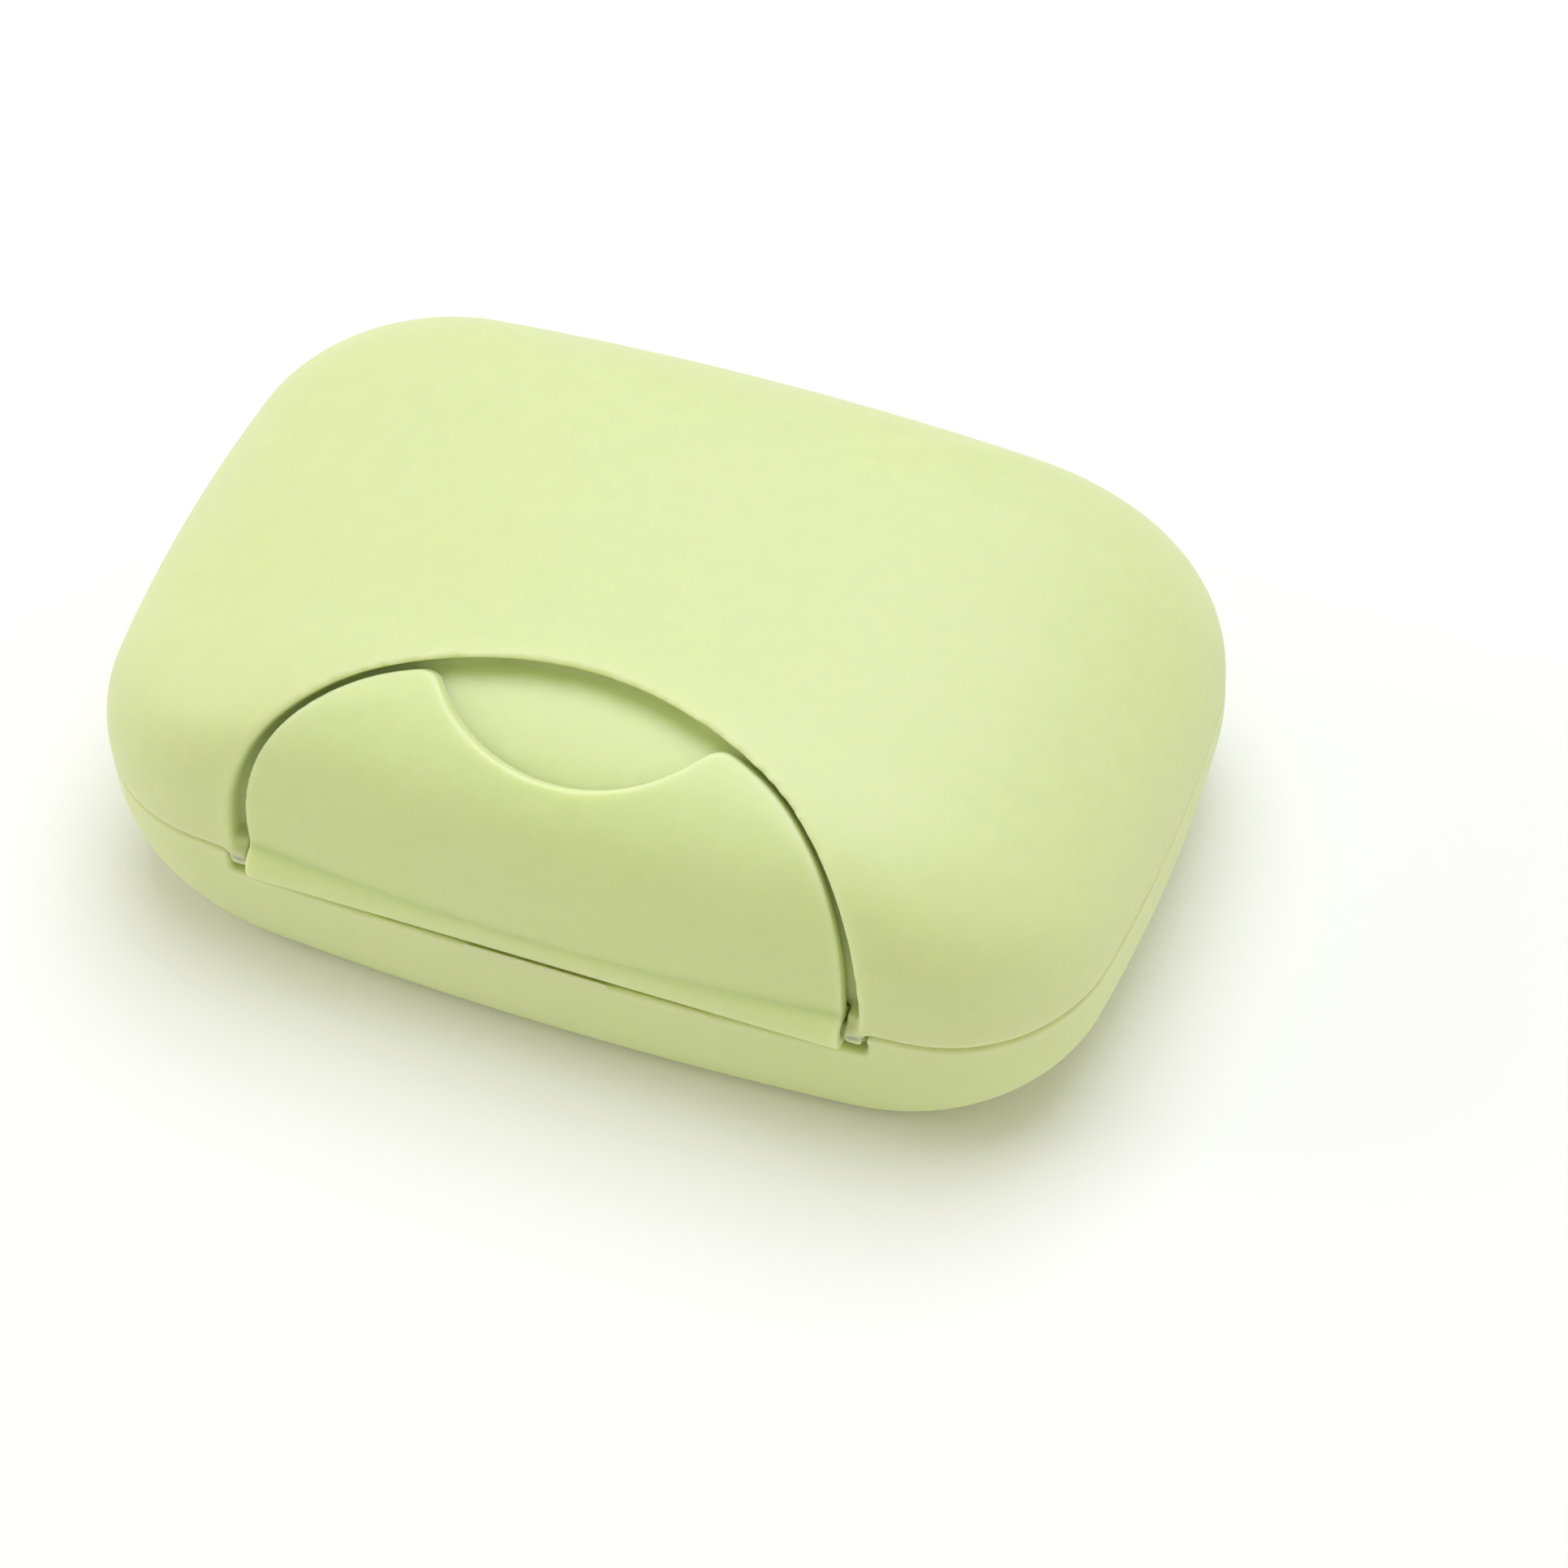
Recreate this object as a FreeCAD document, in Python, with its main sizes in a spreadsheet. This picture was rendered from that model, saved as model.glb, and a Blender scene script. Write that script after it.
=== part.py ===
import FreeCAD, Part
import math
import os
import Sketcher

# A hinged travel soap box: base, lid, half-moon latch flap, pins and a drain tray.
# Millimetres. X runs along the box, the latch faces -Y, Z is up.
# The origin is the middle of the flat underside.

doc = FreeCAD.newDocument("travel_soap_box")
sheet = doc.addObject("Spreadsheet::Sheet", "sheet")

# Driving dimensions

DIMENSIONS = {
    "length": 120.0,
    "depth": 77.0,
    "height": 44.0,
    "seam_height": 19.1,
    "seam_gap": 0.3,
    "wall": 2.0,
    # plan outline at the seam
    "side_bulge_radius": 468.0,
    "end_bulge_radius": 180.0,
    "corner_radius": 18.5,
    # powers of the lid's rounded profile
    "lid_rise_power": 2.56,
    "lid_end_power": 2.47,
    "lid_side_power": 4.89,
    "lid_corner_power": 1.47,
    # how far the base draws in from the seam to its flat foot
    "foot_end_inset": 30.0,
    "foot_side_inset": 7.3,
    "foot_corner_radius": 11.0,
    "base_power": 3.0,
    # stepped rim joint
    "rim_tongue": 1.0,
    "lip_height": 2.0,
    "lip_clearance": 0.25,
    # half-moon recess in the lid
    "recess_end_inset": 23.2,
    "recess_rise": 31.7,
    "recess_crown_radius": 51.7,
    "recess_shoulder_radius": 25.5,
    "recess_depth": 3.1,
    # latch flap, which leaves a wider gap at its sides than at its crown
    "flap_side_gap": 1.9,
    "flap_crown_gap": 1.3,
    "flap_crown_radius": 58.0,
    "flap_shoulder_radius": 22.5,
    "flap_sink": 0.8,
    "flap_thickness": 1.8,
    "scoop_radius": 20.4,
    "scoop_rise": 19.8,
    "scoop_tip_radius": 3.0,
    # latch hinge
    "latch_pin_diameter": 1.6,
    "latch_axis_inset": 2.5,
    "latch_axis_drop": 0.7,
    "barrel_diameter": 5.0,
    "barrel_clearance": 0.3,
    "lug_grip": 0.6,
    "lug_diameter": 2.8,
    "lug_rise": 1.4,
    # lid hinge
    "hinge_pin_diameter": 1.4,
    "knuckle_diameter": 3.4,
    "hinge_offset": 0.2,
    "hinge_spread": 26.0,
    "knuckle_width": 8.0,
    "ear_width": 3.0,
    "hinge_web": 6.5,
    "side_clearance": 0.3,
    "running_clearance": 0.05,
    # drain tray
    "tray_end_inset": 14.0,
    "tray_side_inset": 10.6,
    "tray_corner_inset": 2.5,
    "tray_height": 4.0,
    "tray_plate": 1.6,
    "tray_rim_height": 2.2,
    "tray_rim_width": 1.6,
    "leg_diameter": 5.0,
    "leg_end_inset": 7.0,
    "leg_side_inset": 9.25,
    "slot_width": 3.0,
    "slot_end_margin": 14.0,
    "slot_side_margin": 8.0,
    "slot_bridge": 6.0,
    "slot_count": 9,
    "ridge_height": 1.2,
    "ridge_width": 1.6,
}

for row, (alias, size) in enumerate(DIMENSIONS.items(), start=1):
    sheet.set("A%d" % row, alias)
    sheet.set("B%d" % row, str(size))
    sheet.setAlias("B%d" % row, alias)
doc.recompute()

X_AXIS = FreeCAD.Vector(1, 0, 0)

# Places worked out from the sheet, as expressions that the features share

HALF_LENGTH = "sheet.length / 2"
HALF_DEPTH = "(sheet.depth - sheet.hinge_offset - sheet.knuckle_diameter / 2) / 2"
BASE_RIM = "(sheet.seam_height - sheet.seam_gap / 2)"
LID_RIM = "(sheet.seam_height + sheet.seam_gap / 2)"
LATCH_Y = "(sheet.latch_axis_inset - %s)" % HALF_DEPTH
LATCH_Z = "(sheet.seam_height - sheet.latch_axis_drop)"
HINGE_Y = "(%s + sheet.hinge_offset)" % HALF_DEPTH
HINGE_Z = "sheet.seam_height"
RECESS_HALF_WIDTH = "(%s - sheet.recess_end_inset)" % HALF_LENGTH
FLAP_HALF_WIDTH = "(%s - sheet.flap_side_gap)" % RECESS_HALF_WIDTH
LUG_INSIDE = "(%s + sheet.side_clearance)" % FLAP_HALF_WIDTH
LUG_OUTSIDE = "(%s + sheet.lug_grip)" % RECESS_HALF_WIDTH
NOTCH_HALF_WIDTH = "(%s + sheet.side_clearance)" % LUG_OUTSIDE
TRAY_FLOOR = "(sheet.wall + sheet.tray_height)"
TRAY_HALF_LENGTH = "(%s - sheet.tray_end_inset)" % HALF_LENGTH
TRAY_HALF_DEPTH = "(%s - sheet.tray_side_inset)" % HALF_DEPTH
LEG_X = "(%s - sheet.wall - sheet.foot_end_inset - sheet.leg_end_inset)" % HALF_LENGTH
LEG_Y = "(%s - sheet.wall - sheet.foot_side_inset - sheet.leg_side_inset)" % HALF_DEPTH
SLOT_PITCH = "(2 * (%s - sheet.slot_end_margin) / (sheet.slot_count - 1))" % TRAY_HALF_LENGTH
SLOT_LENGTH = "(%s - sheet.slot_side_margin - sheet.slot_bridge / 2)" % TRAY_HALF_DEPTH
SLOT_ROW = "((sheet.slot_bridge + %s) / 2)" % SLOT_LENGTH


def measure(expression):
    """The number that an expression gives with the sheet as it stands."""
    return float(sheet.evalExpression(str(expression)))


# Sketch helpers


def new_body(name):
    return doc.addObject("PartDesign::Body", name)


def new_sketch(body, name, role, height="0"):
    """An empty sketch on one of the body's own planes, lifted off it by height."""
    sketch = body.newObject("Sketcher::SketchObject", name)
    plane = [face for face in body.Origin.OriginFeatures if face.Role == role][0]
    sketch.AttachmentSupport = [(plane, "")]
    sketch.MapMode = "FlatFace"
    sketch.setExpression("AttachmentOffset.Base.z", str(height))
    return sketch


def arc(x, y, radius, start, end):
    circle = Part.Circle(FreeCAD.Vector(x, y, 0), FreeCAD.Vector(0, 0, 1), radius)
    return Part.ArcOfCircle(circle, start, end)


def line(x1, y1, x2, y2):
    return Part.LineSegment(FreeCAD.Vector(x1, y1, 0), FreeCAD.Vector(x2, y2, 0))


def constrain(sketch, ties, sizes):
    """Add a sketch's ties and driving sizes at once, and bind each size to its expression."""
    rules = [Sketcher.Constraint(*tie) for tie in ties]
    for kind, where, expression in sizes:
        rules.append(Sketcher.Constraint(kind, *where, measure(expression)))
    sketch.addConstraint(rules)
    for index, (kind, where, expression) in enumerate(sizes, start=len(ties)):
        sketch.setExpression("Constraints[%d]" % index, str(expression))


def corner_centre(side_centre, side_radius, end_centre, end_radius, corner_radius):
    """Centre of the arc that joins a side arc and an end arc without a kink."""
    reach_side = side_radius - corner_radius
    reach_end = end_radius - corner_radius
    span_x = end_centre[0] - side_centre[0]
    span_y = end_centre[1] - side_centre[1]
    span = math.hypot(span_x, span_y)
    along = (reach_side ** 2 - reach_end ** 2 + span ** 2) / (2 * span)
    across = math.sqrt(reach_side ** 2 - along ** 2)
    unit_x = span_x / span
    unit_y = span_y / span
    return (side_centre[0] + unit_x * along + unit_y * across,
            side_centre[1] + unit_y * along - unit_x * across)


def pillow_outline(sketch, half_length, half_depth, side_radius, end_radius, corner_radius):
    """Closed outline of eight tangent arcs: bulged ends and sides, round corners."""
    ties = []
    sizes = []
    a = measure(half_length)
    b = measure(half_depth)
    side = measure(side_radius)
    end = measure(end_radius)
    corner = measure(corner_radius)
    corner_x, corner_y = corner_centre((0, b - side), side, (a - end, 0), end, corner)
    side_turn = math.atan2(corner_y - (b - side), corner_x)
    end_turn = math.atan2(corner_y, corner_x - (a - end))
    half = math.pi
    full = 2 * math.pi
    sketch.addGeometry([
        arc(a - end, 0, end, -end_turn, end_turn),
        arc(corner_x, corner_y, corner, end_turn, side_turn),
        arc(0, b - side, side, side_turn, half - side_turn),
        arc(-corner_x, corner_y, corner, half - side_turn, half - end_turn),
        arc(end - a, 0, end, half - end_turn, half + end_turn),
        arc(-corner_x, -corner_y, corner, half + end_turn, half + side_turn),
        arc(0, side - b, side, half + side_turn, full - side_turn),
        arc(corner_x, -corner_y, corner, full - side_turn, full - end_turn),
    ], False)
    for index in range(8):
        ties.append(("Tangent", index, 2, (index + 1) % 8, 1))
    for index in (0, 4):
        ties.append(("PointOnObject", index, 3, -1))
    for index in (2, 6):
        ties.append(("PointOnObject", index, 3, -2))
    ties.append(("Equal", 0, 4))
    ties.append(("Equal", 2, 6))
    for index in (3, 5, 7):
        ties.append(("Equal", 1, index))
    sizes.append(("Radius", (0,), end_radius))
    sizes.append(("Radius", (2,), side_radius))
    sizes.append(("Radius", (1,), corner_radius))
    end_reach = "%s - (%s)" % (end_radius, half_length)
    side_reach = "%s - (%s)" % (side_radius, half_depth)
    sizes.append(("DistanceX", (0, 3, -1, 1), end_reach))
    sizes.append(("DistanceX", (-1, 1, 4, 3), end_reach))
    sizes.append(("DistanceY", (2, 3, -1, 1), side_reach))
    sizes.append(("DistanceY", (-1, 1, 6, 3), side_reach))
    constrain(sketch, ties, sizes)


def seam_outline(sketch, inset):
    """The box's plan outline at the seam, drawn in by inset."""
    pillow_outline(
        sketch,
        "(%s - %s)" % (HALF_LENGTH, inset),
        "(%s - %s)" % (HALF_DEPTH, inset),
        "(sheet.side_bulge_radius - %s)" % inset,
        "(sheet.end_bulge_radius - %s)" % inset,
        "(sheet.corner_radius - %s)" % inset,
    )


def loft(body, name, sketches):
    feature = body.newObject("PartDesign::AdditiveLoft", name)
    feature.Profile = sketches[0]
    feature.Sections = sketches[1:]
    return feature


# Boolean helpers


def cut(name, stock, tool):
    feature = doc.addObject("Part::Cut", name)
    feature.Base = stock
    feature.Tool = tool
    return feature


def cut_each(name, stock, tools):
    """Cut tools away one after the other. The last cut carries the name."""
    for number, tool in enumerate(tools, start=1):
        step = name if number == len(tools) else "%s_step_%d" % (name, number)
        stock = cut(step, stock, tool)
    return stock


def overlap(name, first, second):
    feature = doc.addObject("Part::Common", name)
    feature.Base = first
    feature.Tool = second
    return feature


def join(name, pieces):
    feature = doc.addObject("Part::MultiFuse", name)
    feature.Shapes = pieces
    return feature


def rod(name, diameter, start_x, end_x, y, z):
    """A round bar along X between two stations."""
    bar = doc.addObject("Part::Cylinder", name)
    bar.setExpression("Radius", "(%s) / 2" % diameter)
    bar.setExpression("Height", "%s - (%s)" % (end_x, start_x))
    bar.Placement.Rotation = FreeCAD.Rotation(FreeCAD.Vector(0, 1, 0), 90)
    bar.setExpression("Placement.Base.x", str(start_x))
    bar.setExpression("Placement.Base.y", str(y))
    bar.setExpression("Placement.Base.z", str(z))
    return bar


def block(name, start, end):
    """A box between two corners given as expressions."""
    box = doc.addObject("Part::Box", name)
    for size, axis, low, high in zip(("Length", "Width", "Height"), "xyz", start, end):
        box.setExpression(size, "%s - (%s)" % (high, low))
        box.setExpression("Placement.Base.%s" % axis, str(low))
    return box


# Lid form: one rounded dome, made again at each depth below the surface

LID_LEVELS = [0, 18, 36, 52, 66, 77, 85]


def lid_form(name, inset):
    """A solid dome whose surface lies inset below the lid's outside."""
    body = new_body(name)
    highest = math.sin(math.radians(LID_LEVELS[-1]))
    sketches = []
    for degrees in LID_LEVELS:
        rise = round(math.sin(math.radians(degrees)), 6)
        left = "(1 - %s^sheet.lid_rise_power)" % rise
        shrink = "%s^(1 / sheet.lid_end_power)" % left
        height = "%s + (sheet.height - %s - %s) * %s" % (LID_RIM, inset, LID_RIM, round(rise / highest, 6))
        sketch = new_sketch(body, "%s_at_%d" % (name, degrees), "XY_Plane", height)
        pillow_outline(
            sketch,
            "(%s - %s) * %s" % (HALF_LENGTH, inset, shrink),
            "(%s - %s) * %s^(1 / sheet.lid_side_power)" % (HALF_DEPTH, inset, left),
            "(sheet.side_bulge_radius - %s) * %s" % (inset, shrink),
            "(sheet.end_bulge_radius - %s) * %s" % (inset, shrink),
            "(sheet.corner_radius - %s) * %s^(1 / sheet.lid_corner_power)" % (inset, left),
        )
        sketches.append(sketch)
    loft(body, name + "_loft", sketches)
    return body


# Base form: draws in from the seam to a flat foot

BASE_LEVELS = [90, 75, 60, 44, 26, 0]


def base_form(name, inset, floor):
    """A solid bowl whose surface lies inset inside the base's outside."""
    body = new_body(name)
    sketches = []
    for degrees in BASE_LEVELS:
        fall = round(math.sin(math.radians(degrees)), 6)
        drawn = "(1 - (1 - %s^sheet.base_power)^(1 / sheet.base_power))" % fall
        height = "%s + (%s - %s) * %s" % (floor, BASE_RIM, floor, round(1 - fall, 6))
        sketch = new_sketch(body, "%s_at_%d" % (name, degrees), "XY_Plane", height)
        corner = "(sheet.corner_radius + (sheet.foot_corner_radius - sheet.corner_radius) * %s)" % drawn
        pillow_outline(
            sketch,
            "(%s - %s - sheet.foot_end_inset * %s)" % (HALF_LENGTH, inset, drawn),
            "(%s - %s - sheet.foot_side_inset * %s)" % (HALF_DEPTH, inset, drawn),
            "(sheet.side_bulge_radius - %s)" % inset,
            "(sheet.end_bulge_radius - %s)" % inset,
            "(%s - %s)" % (corner, inset),
        )
        sketches.append(sketch)
    loft(body, name + "_loft", sketches)
    return body


def seam_ring(name, outer_inset, inner_inset, start_z, end_z):
    """An upright ring that follows the seam outline between two insets."""
    body = new_body(name)
    sketch = new_sketch(body, name + "_outside", "XY_Plane", start_z)
    seam_outline(sketch, outer_inset)
    pad = body.newObject("PartDesign::Pad", name + "_pad")
    pad.Profile = sketch
    pad.setExpression("Length", "%s - (%s)" % (end_z, start_z))
    hollow = new_sketch(body, name + "_inside", "XY_Plane", start_z)
    seam_outline(hollow, inner_inset)
    pocket = body.newObject("PartDesign::Pocket", name + "_pocket")
    pocket.Profile = hollow
    pocket.Reversed = True
    pocket.setExpression("Length", "%s - (%s)" % (end_z, start_z))
    return body


# Half-moon prisms, looked at from the front and 45 degrees above

VIEW_TILT = -45
PRISM_DEPTH = "sheet.height"
PRISM_SKIRT = "sheet.recess_depth * 4"


def tilted_sketch(body, name):
    """A sketch at the front of the seam whose normal points forward and up."""
    sketch = new_sketch(body, name, "XZ_Plane", HALF_DEPTH)
    sketch.setExpression("AttachmentOffset.Base.y", "sheet.seam_height")
    offset = sketch.AttachmentOffset
    offset.Rotation = FreeCAD.Rotation(X_AXIS, VIEW_TILT)
    sketch.AttachmentOffset = offset
    return sketch


def half_moon(name, half_width, rise, crown, shoulder):
    """A half-moon prism: straight foot, upright ends, round shoulders and a flatter crown."""
    ties = []
    sizes = []
    body = new_body(name)
    sketch = tilted_sketch(body, name + "_outline")
    w = measure(half_width)
    r = measure(shoulder)
    big = measure(crown)
    skirt = measure(PRISM_SKIRT)
    crown_y = measure(rise) - big
    shoulder_y = crown_y + math.sqrt((big - r) ** 2 - (w - r) ** 2)
    turn = math.atan2(shoulder_y - crown_y, w - r)
    sketch.addGeometry([
        line(-w, -skirt, w, -skirt),
        line(w, -skirt, w, shoulder_y),
        arc(w - r, shoulder_y, r, 0, turn),
        arc(0, crown_y, big, turn, math.pi - turn),
        arc(r - w, shoulder_y, r, math.pi - turn, math.pi),
        line(-w, shoulder_y, -w, -skirt),
    ], False)
    ties.append(("Coincident", 0, 2, 1, 1))
    ties.append(("Coincident", 5, 2, 0, 1))
    for index in range(1, 5):
        ties.append(("Tangent", index, 2, index + 1, 1))
    ties.append(("Vertical", 1))
    ties.append(("Vertical", 5))
    ties.append(("Symmetric", 0, 1, 0, 2, -2))
    ties.append(("PointOnObject", 3, 3, -2))
    ties.append(("Equal", 2, 4))
    sizes.append(("Radius", (2,), shoulder))
    sizes.append(("Radius", (3,), crown))
    sizes.append(("DistanceY", (3, 3, -1, 1), "%s - %s" % (crown, rise)))
    sizes.append(("DistanceX", (-1, 1, 0, 2), half_width))
    sizes.append(("DistanceY", (0, 1, -1, 1), PRISM_SKIRT))
    constrain(sketch, ties, sizes)
    pad = body.newObject("PartDesign::Pad", name + "_pad")
    pad.Profile = sketch
    pad.setExpression("Length", PRISM_DEPTH)
    pad.Midplane = True
    return body


def recess_half_moon(name, grow):
    """A half-moon prism as wide as the recess plus grow on every side."""
    return half_moon(
        name,
        "(%s + %s)" % (RECESS_HALF_WIDTH, grow),
        "(sheet.recess_rise + %s)" % grow,
        "(sheet.recess_crown_radius + %s)" % grow,
        "(sheet.recess_shoulder_radius + %s)" % grow,
    )


def add_scoop(body, name):
    """Thumb scoop in the top edge of a half-moon prism, with its two tips rounded."""
    ties = []
    sizes = []
    sketch = tilted_sketch(body, name)
    centre_rise = "sheet.scoop_rise + sheet.scoop_radius"
    middle = FreeCAD.Vector(0, measure(centre_rise), 0)
    sketch.addGeometry(Part.Circle(middle, FreeCAD.Vector(0, 0, 1), measure("sheet.scoop_radius")), False)
    ties.append(("PointOnObject", 0, 3, -2))
    sizes.append(("DistanceY", (-1, 1, 0, 3), centre_rise))
    sizes.append(("Radius", (0,), "sheet.scoop_radius"))
    constrain(sketch, ties, sizes)
    pocket = body.newObject("PartDesign::Pocket", name + "_pocket")
    pocket.Profile = sketch
    pocket.Type = "ThroughAll"
    pocket.Midplane = True
    doc.recompute()
    tips = []
    scoop_wall = [face for face in pocket.Shape.Faces
                  if isinstance(face.Surface, Part.Cylinder)
                  and abs(face.Surface.Radius - measure("sheet.scoop_radius")) < 1e-6]
    for index, edge in enumerate(pocket.Shape.Edges, start=1):
        straight = isinstance(edge.Curve, Part.Line)
        if straight and any(edge.isSame(other) for face in scoop_wall for other in face.Edges):
            tips.append("Edge%d" % index)
    rounding = body.newObject("PartDesign::Fillet", name + "_tips")
    rounding.Base = (pocket, tips)
    rounding.setExpression("Radius", "sheet.scoop_tip_radius")
    return body


# Hinge ears and knuckles: a half round on the axis with a web to the wall


def hinge_leaf(name, start_x, end_x, rises):
    """One hinge leaf between two stations. Its web rises to the lid or falls to the base."""
    ties = []
    sizes = []
    body = new_body(name)
    sketch = new_sketch(body, name + "_profile", "YZ_Plane", start_x)
    y = measure(HINGE_Y)
    z = measure(HINGE_Z)
    r = measure("sheet.knuckle_diameter / 2")
    web = measure("sheet.hinge_web")
    if rises:
        half_round = arc(y, z, r, math.pi, 2 * math.pi)
        tip_z = z + web
        sides = [line(y + r, z, y - r, tip_z), line(y - r, tip_z, y - r, z)]
    else:
        half_round = arc(y, z, r, 0, math.pi)
        tip_z = z - web
        sides = [line(y - r, z, y - r, tip_z), line(y - r, tip_z, y + r, z)]
    sketch.addGeometry([half_round] + sides, False)
    ties.append(("Coincident", 0, 2, 1, 1))
    ties.append(("Coincident", 1, 2, 2, 1))
    ties.append(("Coincident", 2, 2, 0, 1))
    ties.append(("Horizontal", 0, 1, 0, 3))
    ties.append(("Horizontal", 0, 2, 0, 3))
    ties.append(("Vertical", 2 if rises else 1))
    sizes.append(("Radius", (0,), "sheet.knuckle_diameter / 2"))
    sizes.append(("DistanceX", (-1, 1, 0, 3), HINGE_Y))
    sizes.append(("DistanceY", (-1, 1, 0, 3), HINGE_Z))
    axis, tip = (0, 3), (1, 2)
    span = (*axis, *tip) if rises else (*tip, *axis)
    sizes.append(("DistanceY", span, "sheet.hinge_web"))
    constrain(sketch, ties, sizes)
    pad = body.newObject("PartDesign::Pad", name + "_pad")
    pad.Profile = sketch
    pad.setExpression("Length", "%s - (%s)" % (end_x, start_x))
    return body


# Stations of the two hinges along X

HINGE_CENTRES = {"left": "(-sheet.hinge_spread)", "right": "sheet.hinge_spread"}
KNUCKLE_HALF = "sheet.knuckle_width / 2"
EAR_START = "(sheet.knuckle_width / 2 + sheet.side_clearance)"
EAR_END = "(%s + sheet.ear_width)" % EAR_START
RELIEF_DIAMETER = "(sheet.knuckle_diameter + 2 * sheet.side_clearance)"
GROOVE_DIAMETER = "(sheet.barrel_diameter + 2 * sheet.barrel_clearance)"


def ear_spans(centre):
    """Start and end of the two base ears of one hinge."""
    return [("%s - %s" % (centre, EAR_END), "%s - %s" % (centre, EAR_START)),
            ("%s + %s" % (centre, EAR_START), "%s + %s" % (centre, EAR_END))]


# Lid shell

lid_outer = lid_form("lid_outer", "0")
lid_hollow = lid_form("lid_hollow", "sheet.wall")
recess_floor = lid_form("recess_floor", "sheet.recess_depth")
recess_back = lid_form("recess_back", "(sheet.recess_depth + sheet.wall)")
recess_moon = recess_half_moon("recess_moon", "0")
liner_moon = recess_half_moon("liner_moon", "sheet.wall")

liner = cut("liner", liner_moon, recess_back)
lid_cavity = cut("lid_cavity", lid_hollow, liner)
lid_blank = cut("lid_blank", lid_outer, lid_cavity)
recess = cut("recess", recess_moon, recess_floor)
lid_recessed = cut("lid_recessed", lid_blank, recess)

rebate_top = "%s + sheet.lip_height + sheet.lip_clearance" % LID_RIM
rebate = seam_ring("lid_rebate", "sheet.rim_tongue", "(sheet.wall + sheet.lip_clearance)",
                   "%s - sheet.seam_gap" % LID_RIM, rebate_top)
barrel_relief = rod("barrel_relief", GROOVE_DIAMETER, "(-%s)" % RECESS_HALF_WIDTH, RECESS_HALF_WIDTH,
                    LATCH_Y, LATCH_Z)
lid_cuts = [rebate, barrel_relief]
lid_additions = []
lid_bores = []
for side, centre in HINGE_CENTRES.items():
    for number, (start_x, end_x) in enumerate(ear_spans(centre), start=1):
        lid_cuts.append(rod("ear_relief_%s_%d" % (side, number), RELIEF_DIAMETER,
                            "%s - sheet.side_clearance" % start_x, "%s + sheet.side_clearance" % end_x,
                            HINGE_Y, HINGE_Z))
    knuckle_start = "%s - %s" % (centre, KNUCKLE_HALF)
    knuckle_end = "%s + %s" % (centre, KNUCKLE_HALF)
    lid_additions.append(hinge_leaf("lid_knuckle_%s" % side, knuckle_start, knuckle_end, True))
    lid_bores.append(rod("lid_knuckle_bore_%s" % side,
                         "(sheet.hinge_pin_diameter + 2 * sheet.running_clearance)",
                         knuckle_start, knuckle_end, HINGE_Y, HINGE_Z))

lug_spans = {"left": ("(-%s)" % LUG_OUTSIDE, "(-%s)" % LUG_INSIDE), "right": (LUG_INSIDE, LUG_OUTSIDE)}
for side, (start_x, end_x) in lug_spans.items():
    lid_additions.append(rod("lug_round_%s" % side, "sheet.lug_diameter", start_x, end_x, LATCH_Y, LATCH_Z))
    lid_additions.append(block("lug_stem_%s" % side,
                               (start_x, LATCH_Y, LID_RIM),
                               (end_x, "%s + sheet.lug_diameter" % LATCH_Y, "%s + sheet.lug_rise" % LID_RIM)))
lid_bores.append(rod("lug_bore", "sheet.latch_pin_diameter", "(-%s)" % LUG_OUTSIDE, LUG_OUTSIDE, LATCH_Y, LATCH_Z))

lid_trimmed = cut_each("lid_trimmed", lid_recessed, lid_cuts)
lid_joined = join("lid_joined", [lid_trimmed] + lid_additions)
lid_shell = cut_each("lid_shell", lid_joined, lid_bores)

# Base shell

base_outer = base_form("base_outer", "0", "0")
base_hollow = base_form("base_hollow", "sheet.wall", "sheet.wall")

trough_end = "(%s + sheet.wall)" % NOTCH_HALF_WIDTH
trough_reach = "(%s / 2 + sheet.wall)" % GROOVE_DIAMETER
trough = join("trough", [
    rod("trough_round", "2 * %s" % trough_reach, "(-%s)" % trough_end, trough_end, LATCH_Y, LATCH_Z),
    block("trough_top",
          ("(-%s)" % trough_end, "%s - %s" % (LATCH_Y, trough_reach), LATCH_Z),
          (trough_end, "%s + %s" % (LATCH_Y, trough_reach), "%s + sheet.wall" % BASE_RIM)),
])
base_cavity = cut("base_cavity", base_hollow, trough)
base_blank = cut("base_blank", base_outer, base_cavity)

lip_top = "%s + sheet.lip_height" % LID_RIM
lip_root = "%s - sheet.lip_height" % BASE_RIM
rim_lip = seam_ring("rim_lip", "(sheet.rim_tongue + sheet.lip_clearance)", "sheet.wall", lip_root, lip_top)
front_lip_inset = "(sheet.recess_depth + sheet.wall + sheet.lip_clearance)"
front_lip_ring = seam_ring("front_lip_ring", front_lip_inset, "(%s + sheet.rim_tongue)" % front_lip_inset,
                           lip_root, lip_top)
front_lip_zone = block("front_lip_zone",
                       ("(-%s)" % RECESS_HALF_WIDTH, "(-%s)" % HALF_DEPTH, "%s - sheet.wall" % lip_root),
                       (RECESS_HALF_WIDTH, "%s + 2 * %s" % (LATCH_Y, trough_reach),
                        "%s + sheet.wall" % lip_top))
front_lip = overlap("front_lip", front_lip_ring, front_lip_zone)

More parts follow.
